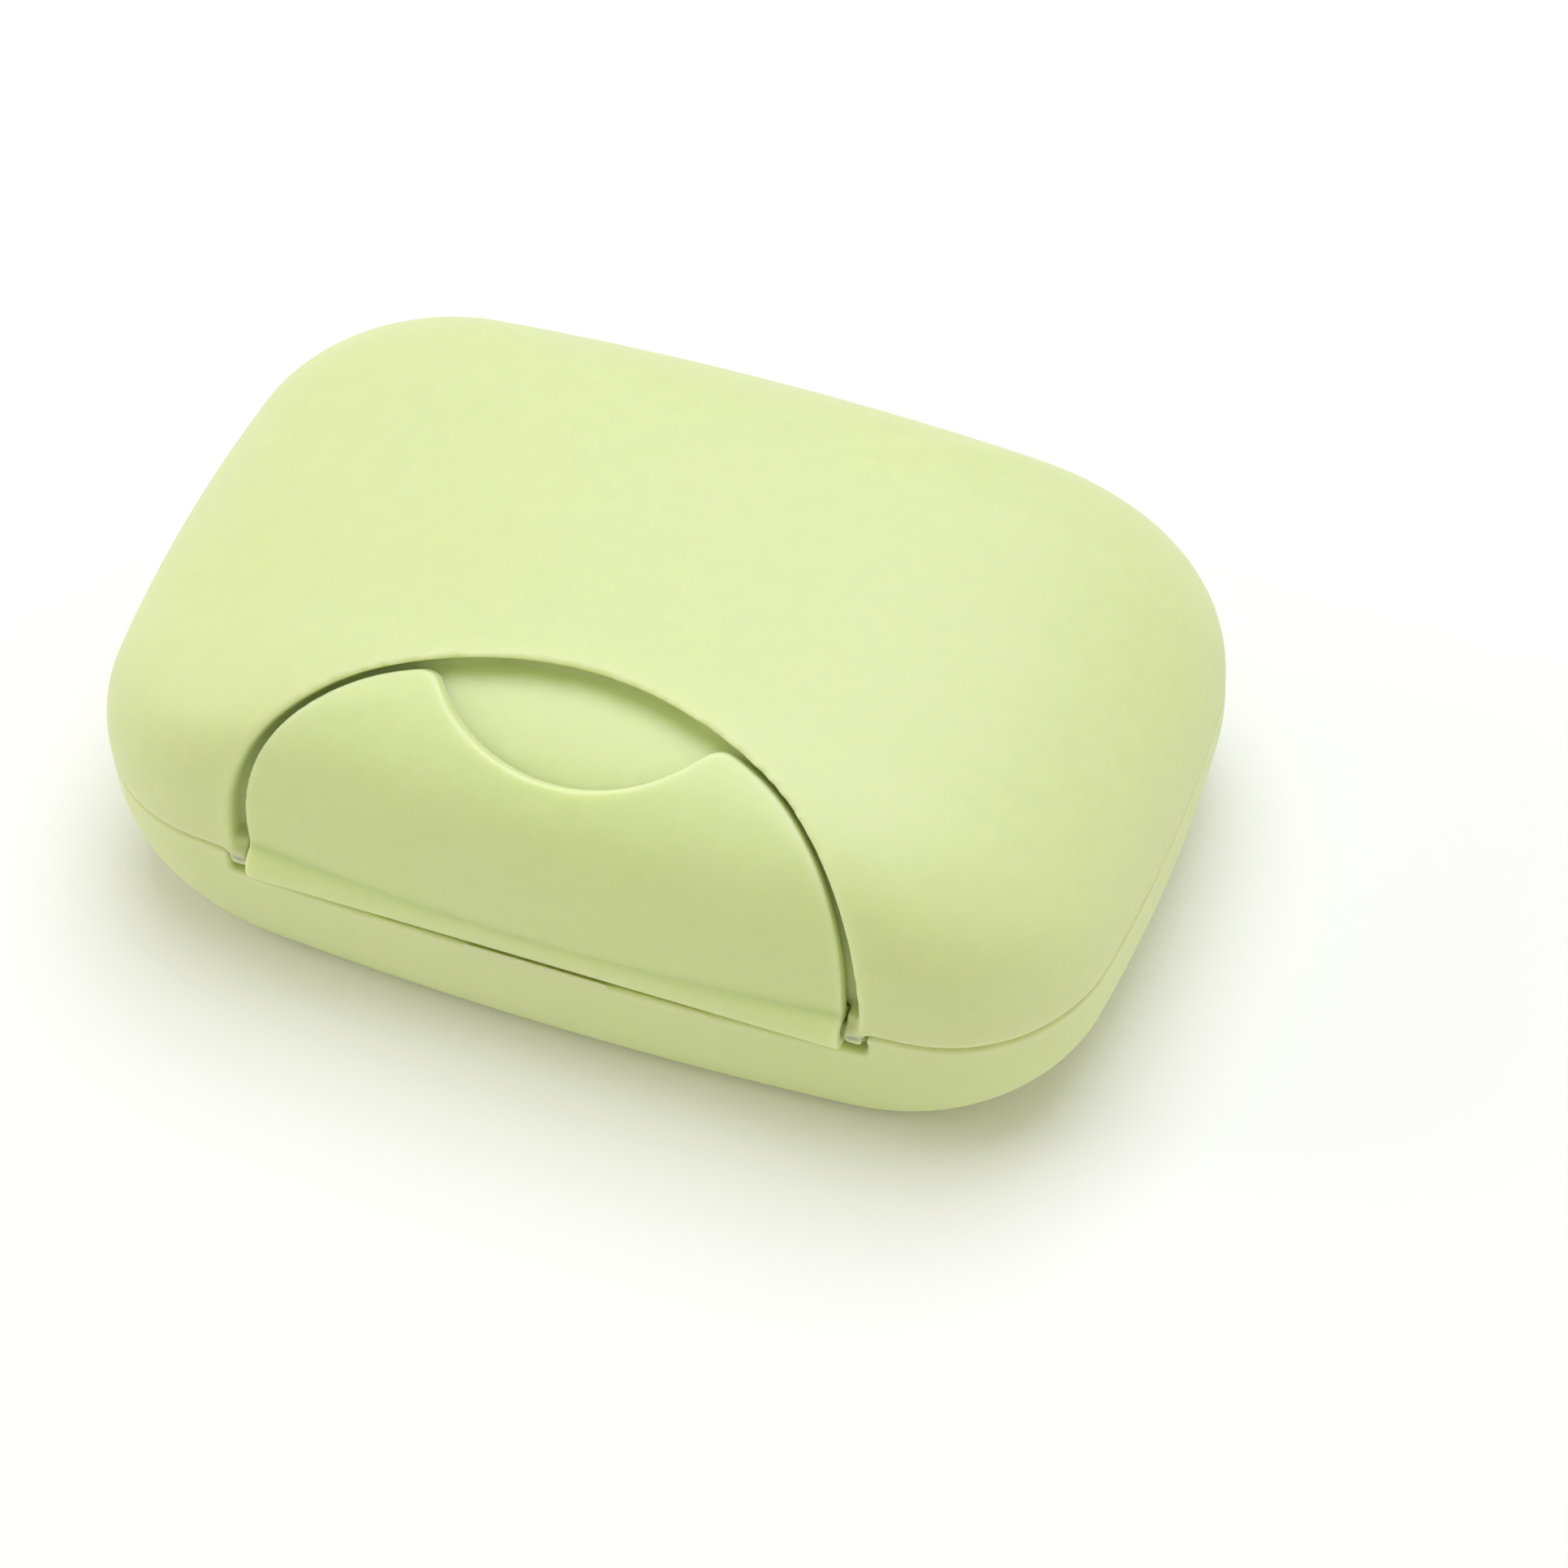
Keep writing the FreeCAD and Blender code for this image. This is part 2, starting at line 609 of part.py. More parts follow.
groove_back = "%s + %s / 2" % (LATCH_Y, GROOVE_DIAMETER)
base_cuts = [
    rod("groove_round", GROOVE_DIAMETER, "(-%s)" % NOTCH_HALF_WIDTH, NOTCH_HALF_WIDTH, LATCH_Y, LATCH_Z),
    block("groove_mouth",
          ("(-%s)" % NOTCH_HALF_WIDTH, "-%s - sheet.wall" % HALF_DEPTH, LATCH_Z),
          (NOTCH_HALF_WIDTH, groove_back, "%s + sheet.wall" % lip_top)),
]
base_additions = []
base_bores = []
hinge_pins = []
for side, centre in HINGE_CENTRES.items():
    base_cuts.append(rod("knuckle_relief_%s" % side, RELIEF_DIAMETER,
                         "%s - %s" % (centre, EAR_START), "%s + %s" % (centre, EAR_START), HINGE_Y, HINGE_Z))
    for number, (start_x, end_x) in enumerate(ear_spans(centre), start=1):
        base_additions.append(hinge_leaf("base_ear_%s_%d" % (side, number), start_x, end_x, False))
    pin_start = "%s - %s" % (centre, EAR_END)
    pin_end = "%s + %s" % (centre, EAR_END)
    base_bores.append(rod("ear_bore_%s" % side, "sheet.hinge_pin_diameter", pin_start, pin_end, HINGE_Y, HINGE_Z))
    hinge_pins.append(rod("hinge_pin_%s" % side, "sheet.hinge_pin_diameter", pin_start, pin_end, HINGE_Y, HINGE_Z))

base_joined = join("base_joined", [base_blank, rim_lip, front_lip])
base_trimmed = cut_each("base_trimmed", base_joined, base_cuts)
base_eared = join("base_eared", [base_trimmed] + base_additions)
base_shell = cut_each("base_shell", base_eared, base_bores)

# Latch flap and its pin

flap_blank = half_moon("flap_moon", FLAP_HALF_WIDTH, "(sheet.recess_rise - sheet.flap_crown_gap)",
                       "sheet.flap_crown_radius", "sheet.flap_shoulder_radius")
flap_moon = add_scoop(flap_blank, "thumb_scoop")
flap_face = lid_form("flap_face", "sheet.flap_sink")
flap_back = lid_form("flap_back", "(sheet.flap_sink + sheet.flap_thickness)")
flap_skin = cut("flap_skin", flap_face, flap_back)
flap_plate = overlap("flap_plate", flap_moon, flap_skin)
flap_barrel = rod("flap_barrel", "sheet.barrel_diameter", "(-%s)" % FLAP_HALF_WIDTH, FLAP_HALF_WIDTH,
                  LATCH_Y, LATCH_Z)
flap_bore = rod("flap_bore", "(sheet.latch_pin_diameter + 2 * sheet.running_clearance)",
                "(-%s)" % FLAP_HALF_WIDTH, FLAP_HALF_WIDTH, LATCH_Y, LATCH_Z)
latch_flap = cut("latch_flap", join("flap_joined", [flap_plate, flap_barrel]), flap_bore)
latch_pin = rod("latch_pin", "sheet.latch_pin_diameter", "(-%s)" % LUG_OUTSIDE, LUG_OUTSIDE, LATCH_Y, LATCH_Z)

# Drain tray

drain_tray = new_body("drain_tray")


def tray_pad(name, height, length, draw):
    """Pad a sketch of the tray that draw fills in."""
    sketch = new_sketch(drain_tray, name + "_sketch", "XY_Plane", height)
    draw(sketch)
    pad = drain_tray.newObject("PartDesign::Pad", name)
    pad.Profile = sketch
    pad.setExpression("Length", str(length))
    return pad


def tray_outline(sketch, inset):
    pillow_outline(sketch, "(%s - %s)" % (TRAY_HALF_LENGTH, inset), "(%s - %s)" % (TRAY_HALF_DEPTH, inset),
                   "(sheet.side_bulge_radius - %s)" % inset, "(sheet.end_bulge_radius - %s)" % inset,
                   "(sheet.corner_radius - sheet.tray_corner_inset - %s)" % inset)


def draw_legs(sketch):
    """Four round legs, one for each quarter."""
    sizes = []
    for index, (way_x, way_y) in enumerate([(1, 1), (-1, 1), (-1, -1), (1, -1)]):
        x = measure(LEG_X) * way_x
        y = measure(LEG_Y) * way_y
        sketch.addGeometry(Part.Circle(FreeCAD.Vector(x, y, 0), FreeCAD.Vector(0, 0, 1),
                                       measure("sheet.leg_diameter / 2")), False)
        across = (-1, 1, index, 3) if way_x > 0 else (index, 3, -1, 1)
        along = (-1, 1, index, 3) if way_y > 0 else (index, 3, -1, 1)
        sizes.append(("DistanceX", across, LEG_X))
        sizes.append(("DistanceY", along, LEG_Y))
        sizes.append(("Radius", (index,), "sheet.leg_diameter / 2"))
    constrain(sketch, [], sizes)


def draw_slot(sketch, centre_x, centre_y, width, length):
    """An upright slot with round ends, centred on expressions that are not below zero in x."""
    ties = []
    sizes = []
    x = measure(centre_x)
    y = measure(centre_y)
    r = measure(width) / 2
    half = measure(length) / 2 - r
    sketch.addGeometry([
        line(x + r, y - half, x + r, y + half),
        arc(x, y + half, r, 0, math.pi),
        line(x - r, y + half, x - r, y - half),
        arc(x, y - half, r, math.pi, 2 * math.pi),
    ], False)
    for index in range(4):
        ties.append(("Tangent", index, 2, (index + 1) % 4, 1))
    ties.append(("Vertical", 0))
    sizes.append(("Radius", (1,), "%s / 2" % width))
    sizes.append(("DistanceX", (3, 3, -1, 1), "-(%s)" % centre_x))
    sizes.append(("DistanceY", (-1, 1, 3, 3), "%s - %s / 2 + %s / 2" % (centre_y, length, width)))
    sizes.append(("DistanceY", (3, 3, 1, 3), "%s - %s" % (length, width)))
    constrain(sketch, ties, sizes)


def repeat_along_x(feature, sketch, count, pitch, name):
    pattern = drain_tray.newObject("PartDesign::LinearPattern", name)
    pattern.Originals = [feature]
    pattern.Direction = (sketch, ["H_Axis"])
    pattern.setExpression("Occurrences", str(count))
    pattern.setExpression("Length", "%s * (%s - 1)" % (pitch, count))
    drain_tray.Tip = pattern
    return pattern


tray_pad("tray_plate_pad", TRAY_FLOOR, "sheet.tray_plate + sheet.tray_rim_height", lambda s: tray_outline(s, "0"))
dish = new_sketch(drain_tray, "tray_dish_outline", "XY_Plane", "%s + sheet.tray_plate" % TRAY_FLOOR)
tray_outline(dish, "sheet.tray_rim_width")
dish_pocket = drain_tray.newObject("PartDesign::Pocket", "tray_dish")
dish_pocket.Profile = dish
dish_pocket.Reversed = True
dish_pocket.setExpression("Length", "sheet.tray_rim_height")
tray_pad("tray_legs", "sheet.wall", "sheet.tray_height", draw_legs)

first_slot = "(-%s * (sheet.slot_count - 1) / 2)" % SLOT_PITCH
for row, row_centre in (("rear", SLOT_ROW), ("front", "(-%s)" % SLOT_ROW)):
    slot = new_sketch(drain_tray, "slot_%s_sketch" % row, "XY_Plane", "%s + sheet.tray_plate" % TRAY_FLOOR)
    draw_slot(slot, first_slot, row_centre, "sheet.slot_width", SLOT_LENGTH)
    slot_pocket = drain_tray.newObject("PartDesign::Pocket", "slot_%s" % row)
    slot_pocket.Profile = slot
    slot_pocket.setExpression("Length", "sheet.tray_plate")
    repeat_along_x(slot_pocket, slot, "sheet.slot_count", SLOT_PITCH, "slots_%s" % row)

first_ridge = "(-%s * (sheet.slot_count - 2) / 2)" % SLOT_PITCH
ridge = tray_pad("ridge", "%s + sheet.tray_plate" % TRAY_FLOOR, "sheet.ridge_height",
                 lambda s: draw_slot(s, first_ridge, "0", "sheet.ridge_width",
                                     "(2 * %s + sheet.slot_bridge)" % SLOT_LENGTH))
repeat_along_x(ridge, ridge.Profile[0], "(sheet.slot_count - 1)", SLOT_PITCH, "ridges")

# Check every object, then write one file for each piece

doc.recompute()
PIECES = [base_shell, lid_shell, latch_flap, latch_pin, *hinge_pins, drain_tray]
faulty = [item.Name for item in doc.Objects if "Invalid" in item.State or "Error" in item.State]
if faulty:
    raise RuntimeError("features that failed: " + ", ".join(faulty))
os.makedirs("parts", exist_ok=True)
for piece in PIECES:
    shape = piece.Shape
    if shape.isNull() or not shape.isValid() or len(shape.Solids) != 1:
        raise RuntimeError("%s is not one sound solid" % piece.Label)
    shape.exportStep("parts/%s.step" % piece.Label)
    print(piece.Label, round(shape.Volume, 1), "mm3", len(shape.Faces), "faces")
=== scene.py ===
# %% [markdown]
# # A travel soap box, dressed for a studio picture
# The solids of the box come from CAD and stay where they are. This lesson gives them a
# moulded look: soft edges, even curves and satin plastic.

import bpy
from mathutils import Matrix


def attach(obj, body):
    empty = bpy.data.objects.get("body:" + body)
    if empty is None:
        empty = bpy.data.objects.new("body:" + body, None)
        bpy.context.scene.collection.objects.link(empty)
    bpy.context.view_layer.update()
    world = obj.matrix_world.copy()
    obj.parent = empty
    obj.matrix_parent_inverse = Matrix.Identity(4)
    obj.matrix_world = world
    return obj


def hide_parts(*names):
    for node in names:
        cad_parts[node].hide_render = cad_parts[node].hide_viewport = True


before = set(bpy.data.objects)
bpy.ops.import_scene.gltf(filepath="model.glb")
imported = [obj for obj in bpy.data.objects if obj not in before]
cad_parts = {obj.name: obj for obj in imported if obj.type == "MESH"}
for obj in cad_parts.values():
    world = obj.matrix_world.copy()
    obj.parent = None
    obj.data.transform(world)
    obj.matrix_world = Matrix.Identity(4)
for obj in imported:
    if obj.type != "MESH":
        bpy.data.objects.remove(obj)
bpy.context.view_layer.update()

# %% Tools, and a room without the startup objects
import math

import bmesh
import bpy
import numpy as np
from mathutils import Matrix, Vector

for left_over in ("Cube", "Light", "Camera"):
    if left_over in bpy.data.objects:
        bpy.data.objects.remove(bpy.data.objects[left_over], do_unlink=True)

# %% [markdown]
# ## The sizes that the looks share
# A designer measures the case once. The outline at the seam is eight arcs that meet without
# a kink, and the lid and the base draw in from it by simple powers. Repeating these few
# sizes here lets the visible skin follow the same curves as the solid below it.

# %% Sizes of the case
MM = 0.001
HALF_LENGTH = 60.0 * MM
HALF_DEPTH = 37.55 * MM
HEIGHT = 44.0 * MM
LID_RIM = 19.25 * MM
BASE_RIM = 18.95 * MM
WALL = 2.0 * MM
SIDE_BULGE = 468.0 * MM
END_BULGE = 180.0 * MM
CORNER = 18.5 * MM
LID_RISE_POWER = 2.56
LID_END_POWER = 2.47
LID_SIDE_POWER = 4.89
LID_CORNER_POWER = 1.47
EASED_CORNER_POWER = 3.0
LID_TOP_RISE = math.sin(math.radians(85))
FOOT_END_INSET = 30.0 * MM
FOOT_SIDE_INSET = 7.3 * MM
FOOT_CORNER = 11.0 * MM
BASE_POWER = 3.0
print("case", HALF_LENGTH * 2, "x", HALF_DEPTH * 2, "x", HEIGHT, "m")

# %% Sizes of the latch and the tray
RECESS_DEPTH = 3.1 * MM
FLAP_SINK = 0.8 * MM
FLAP_THICKNESS = 1.8 * MM
TRAY_TOP = 7.6 * MM
RIB_COUNT = 8
RIB_PITCH = 8.0 * MM
RIB_LENGTH = 37.9 * MM
RIB_WIDTH = 1.8 * MM
RIB_RISE = 1.2 * MM
print("flap", FLAP_THICKNESS, "m thick,", RIB_COUNT, "ribs on the tray")

# %% [markdown]
# ## How deep a point lies below the skin
# A moulded shell has the same curve on its outside, its inside and the floor of a recess,
# each a little smaller than the last. So one number says where a point is: its depth below
# the outside. It can't be written down directly, but it can be searched for, because a
# point that is outside a smaller form is always outside every still smaller one.

# %% Distance to the eight-arc outline


def outline_distance(x, y, half_length, half_depth, side, end, corner):
    """Signed distance of plan points to the outline, negative inside. All arrays."""
    x = np.abs(x)
    y = np.abs(y)
    side_y = half_depth - side
    end_x = half_length - end
    reach_side = side - corner
    reach_end = end - corner
    span = np.hypot(end_x, side_y)
    along = (reach_side**2 - reach_end**2 + span**2) / (2 * span)
    across = np.sqrt(np.maximum(reach_side**2 - along**2, 0))
    unit_x = end_x / span
    unit_y = -side_y / span
    corner_x = unit_x * along + unit_y * across
    corner_y = side_y + unit_y * along - unit_x * across
    on_side = x * (corner_y - side_y) < corner_x * (y - side_y)
    on_end = y * (corner_x - end_x) < corner_y * (x - end_x)
    distance = np.hypot(x - corner_x, y - corner_y) - corner
    distance = np.where(on_side, np.hypot(x, y - side_y) - side, distance)
    return np.where(on_end, np.hypot(x - end_x, y) - end, distance)


# %% The lid's and the base's forms at a given depth
LID_LIMIT = 0.9999
BASE_LIMIT = 0.99999
FAR_OUTSIDE = 1.0


def lid_distance(points, depth, corner_power=LID_CORNER_POWER):
    """How far points lie outside the lid's form at that depth, measured level."""
    rise = (points[:, 2] - LID_RIM) / (HEIGHT - depth - LID_RIM) * LID_TOP_RISE
    over = rise >= LID_LIMIT
    left = 1 - np.clip(rise, 0, LID_LIMIT) ** LID_RISE_POWER
    shrink = left ** (1 / LID_END_POWER)
    distance = outline_distance(
        points[:, 0],
        points[:, 1],
        (HALF_LENGTH - depth) * shrink,
        (HALF_DEPTH - depth) * left ** (1 / LID_SIDE_POWER),
        (SIDE_BULGE - depth) * shrink,
        (END_BULGE - depth) * shrink,
        (CORNER - depth) * left ** (1 / corner_power),
    )
    return np.where(over, FAR_OUTSIDE, distance)


def eased_lid_distance(points, depth):
    """The same form with corners that stay round nearer to the top."""
    return lid_distance(points, depth, EASED_CORNER_POWER)


def base_distance(points, depth):
    """How far points lie outside the base's form at that depth, measured level."""
    fall = 1 - (points[:, 2] - depth) / (BASE_RIM - depth)
    under = fall >= BASE_LIMIT
    fall = np.clip(fall, 0, BASE_LIMIT)
    drawn = 1 - (1 - fall**BASE_POWER) ** (1 / BASE_POWER)
    distance = outline_distance(
        points[:, 0],
        points[:, 1],
        HALF_LENGTH - depth - FOOT_END_INSET * drawn,
        HALF_DEPTH - depth - FOOT_SIDE_INSET * drawn,
        SIDE_BULGE - depth,
        END_BULGE - depth,
        CORNER + (FOOT_CORNER - CORNER) * drawn - depth,
    )
    return np.where(under, FAR_OUTSIDE, distance)


# %% Search for the depth
SHALLOWEST = -3 * MM
DEEPEST = 9 * MM
HALVINGS = 28


def depth_below(points, distance):
    """Depth of points below the outside of a form, by halving the range it can be in."""
    low = np.full(len(points), SHALLOWEST)
    high = np.full(len(points), DEEPEST)
    for _ in range(HALVINGS):
        middle = (low + high) / 2
        outside = distance(points, middle) > 0
        high = np.where(outside, middle, high)
        low = np.where(outside, low, middle)
    return (low + high) / 2


top_point = np.array([[0, 0, HEIGHT - WALL]])
print("depth under the top:", round(float(depth_below(top_point, lid_distance)[0] / MM), 2), "mm")

# %% [markdown]
# ## From a facetted solid to a moulded skin
# A CAD solid is cut into flat facets with knife-sharp edges, while a moulding has small
# rounds wherever the tool was polished. The solid is first turned into an even grid of
# small quads. Relaxing the grid rounds every edge by about half a millimetre, and the
# broad faces are then set back on their true curve so that only the edges have changed.

# %% Take a mesh from an object or a CAD node
WELD_DISTANCE = 0.002 * MM


def plain_mesh(obj, name):
    """The object's mesh with its modifiers worked in, as a mesh of its own."""
    depsgraph = bpy.context.evaluated_depsgraph_get()
    mesh = bpy.data.meshes.new_from_object(obj.evaluated_get(depsgraph))
    mesh.name = name
    return mesh


def welded_copy(node, name):
    """A copy of a CAD node with its split corners joined, so that it is watertight."""
    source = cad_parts[node]
    grid = bmesh.new()
    grid.from_mesh(source.data)
    grid.transform(source.matrix_world)
    bmesh.ops.remove_doubles(grid, verts=grid.verts, dist=WELD_DISTANCE)
    mesh = bpy.data.meshes.new(name)
    grid.to_mesh(mesh)
    grid.free()
    copy = bpy.data.objects.new(name, mesh)
    bpy.context.scene.collection.objects.link(copy)
    return copy


# %% Read and move the corners of a mesh


def corners_of(mesh):
    flat = np.empty(len(mesh.vertices) * 3)
    mesh.vertices.foreach_get("co", flat)
    return flat.reshape(-1, 3)


def normals_of(mesh):
    flat = np.empty(len(mesh.vertices) * 3)
    mesh.vertex_normals.foreach_get("vector", flat)
    return flat.reshape(-1, 3)


def edges_of(mesh):
    flat = np.empty(len(mesh.edges) * 2, dtype=np.int64)
    mesh.edges.foreach_get("vertices", flat)
    return flat.reshape(-1, 2)


def move_corners(mesh, points):
    mesh.vertices.foreach_set("co", points.ravel())
    mesh.update()


def neighbour_mean(points, edges):
    """For each corner, the middle of the corners that it shares an edge with."""
    ends = np.concatenate([edges[:, 0], edges[:, 1]])
    others = np.concatenate([edges[:, 1], edges[:, 0]])
    count = np.maximum(np.bincount(ends, minlength=len(points)), 1)
    sums = [np.bincount(ends, points[others, axis], len(points)) for axis in range(3)]
    return np.stack(sums, axis=1) / count[:, None]


# %% Relax the edges, settle the faces
RELAX_AMOUNT = 0.5
LEVEL_REACH = 0.45 * MM
SLOPE_START = 0.86
SLOPE_FULL = 0.97
PROBE = 0.2 * MM


def relax(mesh, rounds, above=-1.0):
    """Rounds off the edges of a grid, only above a height where one is given."""
    points = corners_of(mesh)
    edges = edges_of(mesh)
    amount = np.where(points[:, 2:] > above, RELAX_AMOUNT, 0)
    for _ in range(rounds):
        points += (neighbour_mean(points, edges) - points) * amount
    move_corners(mesh, points)


def settle(mesh, distance, levels):
    """Moves the broad faces along their normals on to the nearest level of the form."""
    points = corners_of(mesh)
    normals = normals_of(mesh)
    ahead = depth_below(points + normals * PROBE, distance)
    behind = depth_below(points - normals * PROBE, distance)
    slope = (ahead - behind) / (2 * PROBE)
    depth = (ahead + behind) / 2
    levels = np.array(levels)
    miss = levels[np.abs(depth[:, None] - levels).argmin(axis=1)] - depth
    square = np.clip((np.abs(slope) - SLOPE_START) / (SLOPE_FULL - SLOPE_START), 0, 1)
    weight = square * (np.abs(miss) < LEVEL_REACH)
    points += normals * (np.sign(slope) * miss * weight)[:, None]
    move_corners(mesh, points)


# %% The whole way from a node to a moulded piece
SETTLE_ROUNDS = 2


def moulded(name, node, pitch, rounds, most_triangles, distance=None, levels=(), softer_above=None):
    """A soft-edged, even-curved copy of a CAD node, with broader edges above a height."""
    piece = welded_copy(node, name)
    grid = piece.modifiers.new("even grid", "REMESH")
    grid.mode = "VOXEL"
    grid.voxel_size = pitch
    mesh = plain_mesh(piece, name)
    piece.modifiers.clear()
    piece.data = mesh
    relax(mesh, rounds)
    if softer_above:
        relax(mesh, 2 * rounds, softer_above)
    if levels:
        for _ in range(SETTLE_ROUNDS):
            settle(mesh, distance, levels)
    relax(mesh, 1)
    triangles = len(mesh.polygons) * 2
    if triangles > most_triangles:
        thin = piece.modifiers.new("fewer faces", "DECIMATE")
        thin.ratio = most_triangles / triangles
        lighter = plain_mesh(piece, name)
        piece.modifiers.clear()
        piece.data = lighter
    piece.data.shade_smooth()
    print(name, triangles, "triangles to", len(piece.data.polygons), "faces")
    return piece


# %% [markdown]
# ## Lid, base and flap
# The three outer pieces are the ones a hand touches, so they get the soft skin. The recess
# floor and the flap are at their own depths below the lid's curve, which is why the flap
# looks like a slice of the lid that has sunk a little.

# %% Make the three moulded pieces
GRID = 0.36 * MM
FINE_GRID = 0.25 * MM
SHELL_TRIANGLES = 190000
SMALL_TRIANGLES = 150000
lid_levels = (0, WALL, RECESS_DEPTH, RECESS_DEPTH + WALL)
flap_levels = (FLAP_SINK, FLAP_SINK + FLAP_THICKNESS)
lid = moulded("lid", "lid_shell", GRID, 4, SHELL_TRIANGLES, lid_distance, lid_levels, LID_RIM + WALL)
base = moulded("base", "base_shell", GRID, 4, SHELL_TRIANGLES, base_distance, (0, WALL))
flap = moulded("flap", "latch_flap", FINE_GRID, 4, SMALL_TRIANGLES, lid_distance, flap_levels)

# %% [markdown]
# ## The drain tray and its ribs
# Soap dries best when it lies on a few narrow ribs above the slots. The tray gets the same
# soft skin, with its square-topped ribs pressed flat first. A small node tree then lays
# round-topped ribs in their place: one ball is stretched into a rib, and a line of points
# repeats it. Changing the count or the pitch changes the whole row.

# %% Soft tray with its square ribs pressed flat
tray = moulded("tray", "drain_tray", GRID, 3, SMALL_TRIANGLES)
tray_points = corners_of(tray.data)
in_dish = np.abs(tray_points[:, 0]) < RIB_PITCH * (RIB_COUNT / 2)
in_dish &= np.abs(tray_points[:, 1]) < RIB_LENGTH / 2 + RIB_WIDTH
on_rib = in_dish & (tray_points[:, 2] > TRAY_TOP)
tray_points[on_rib, 2] = TRAY_TOP
move_corners(tray.data, tray_points)
print("pressed flat:", int(on_rib.sum()), "corners")

# %% Small helpers for node trees


def put(tree, value, socket):
    """Sets a socket to a plain value, or links it to another node's output."""
    if isinstance(value, bpy.types.NodeSocket):
        tree.links.new(value, socket)
    else:
        socket.default_value = value


def add(tree, kind, inputs):
    """A new node of that kind, with its named inputs set or linked."""
    node = tree.nodes.new(kind)
    for name, value in inputs.items():
        put(tree, value, node.inputs[name])
    return node


def maths(tree, operation, first, second=0.0):
    node = tree.nodes.new("ShaderNodeMath")
    node.operation = operation
    put(tree, first, node.inputs[0])
    put(tree, second, node.inputs[1])
    return node.outputs[0]


def vector(tree, **parts):
    return add(tree, "ShaderNodeCombineXYZ", parts).outputs[0]


# %% One rib from a stretched ball
BALL_SEGMENTS = 32
BALL_RINGS = 20


def stretched_ball(tree, length, width, rise):
    """A ball pulled apart at its middle to the rib's length, as tall as the rib's rise."""
    half_width = maths(tree, "MULTIPLY", width, 0.5)
    ball = add(tree, "GeometryNodeMeshUVSphere", {
        "Segments": BALL_SEGMENTS,
        "Rings": BALL_RINGS,
        "Radius": half_width,
    })
    position = tree.nodes.new("GeometryNodeInputPosition")
    place = add(tree, "ShaderNodeSeparateXYZ", {"Vector": position.outputs[0]})
    half_pull = maths(tree, "MULTIPLY", maths(tree, "SUBTRACT", length, width), 0.5)
    pull = maths(tree, "MULTIPLY", maths(tree, "SIGN", place.outputs["Y"]), half_pull)
    stretch = add(tree, "GeometryNodeSetPosition", {
        "Geometry": ball.outputs["Mesh"],
        "Offset": vector(tree, Y=pull),
    })
    tall = maths(tree, "DIVIDE", rise, half_width)
    shape = add(tree, "GeometryNodeTransform", {
        "Geometry": stretch.outputs["Geometry"],
        "Scale": vector(tree, X=1.0, Y=1.0, Z=tall),
    })
    return shape.outputs["Geometry"]


# %% Node tree for a row of ribs


def rib_row_tree():
    tree = bpy.data.node_groups.new("rib row", "GeometryNodeTree")
    ports = tree.interface
    ports.new_socket("Count", in_out="INPUT", socket_type="NodeSocketInt")
    for size in ("Pitch", "Length", "Width", "Rise", "Height"):
        ports.new_socket(size, in_out="INPUT", socket_type="NodeSocketFloat")
    ports.new_socket("Finish", in_out="INPUT", socket_type="NodeSocketMaterial")
    ports.new_socket("Ribs", in_out="OUTPUT", socket_type="NodeSocketGeometry")
    given = tree.nodes.new("NodeGroupInput").outputs
    gaps = maths(tree, "SUBTRACT", given["Count"], 1)
    first_x = maths(tree, "MULTIPLY", maths(tree, "MULTIPLY", given["Pitch"], gaps), -0.5)
    row = add(tree, "GeometryNodeMeshLine", {
        "Count": given["Count"],
        "Start Location": vector(tree, X=first_x, Z=given["Height"]),
        "Offset": vector(tree, X=given["Pitch"]),
    })
    repeat = add(tree, "GeometryNodeInstanceOnPoints", {
        "Points": row.outputs["Mesh"],
        "Instance": stretched_ball(tree, given["Length"], given["Width"], given["Rise"]),
    })
    real = add(tree, "GeometryNodeRealizeInstances", {"Geometry": repeat.outputs["Instances"]})
    smooth = add(tree, "GeometryNodeSetShadeSmooth", {"Geometry": real.outputs["Geometry"]})
    finish = add(tree, "GeometryNodeSetMaterial", {
        "Geometry": smooth.outputs["Geometry"],
        "Material": given["Finish"],
    })
    add(tree, "NodeGroupOutput", {"Ribs": finish.outputs["Geometry"]})
    return tree


def grown(name, tree, sizes):
    """An object made by a node tree with the given inputs, turned into a plain mesh."""
    holder = bpy.data.objects.new(name, bpy.data.meshes.new(name))
    bpy.context.scene.collection.objects.link(holder)
    grower = holder.modifiers.new(name, "NODES")
    grower.node_group = tree
    for port in tree.interface.items_tree:
        if port.in_out == "INPUT":
            grower[port.identifier] = sizes[port.name]
    holder.data = plain_mesh(holder, name)
    holder.modifiers.clear()
    return holder


# %% [markdown]
# ## Easing the lid's corners
# Where the lid's side, end and corner meet, the plain form tightens into a faint ridge
# towards the top. A polished tool has none. Each point of the lid and the flap keeps its
# depth below the skin but moves to a form with rounder corners, by about half a millimetre
# at most, so the gaps between the pieces stay as they are.

# %% Move the lid and the flap to the eased form
EASE_ROUNDS = 3


def ease_corners(piece):
    """Moves points outward or inward from the middle of the rim until their depth is right."""
    points = corners_of(piece.data)
    start = points.copy()
    wanted = depth_below(points, lid_distance)
    for _ in range(EASE_ROUNDS):
        arms = points - np.array([0, 0, LID_RIM])
        miss = depth_below(points, eased_lid_distance) - wanted
        points = points + arms * (miss / np.linalg.norm(arms, axis=1))[:, None]
    move_corners(piece.data, points)
    moved = np.linalg.norm(points - start, axis=1).max() / MM
    print(piece.name, "eased by at most", round(float(moved), 2), "mm")


for piece in (lid, flap):
    ease_corners(piece)

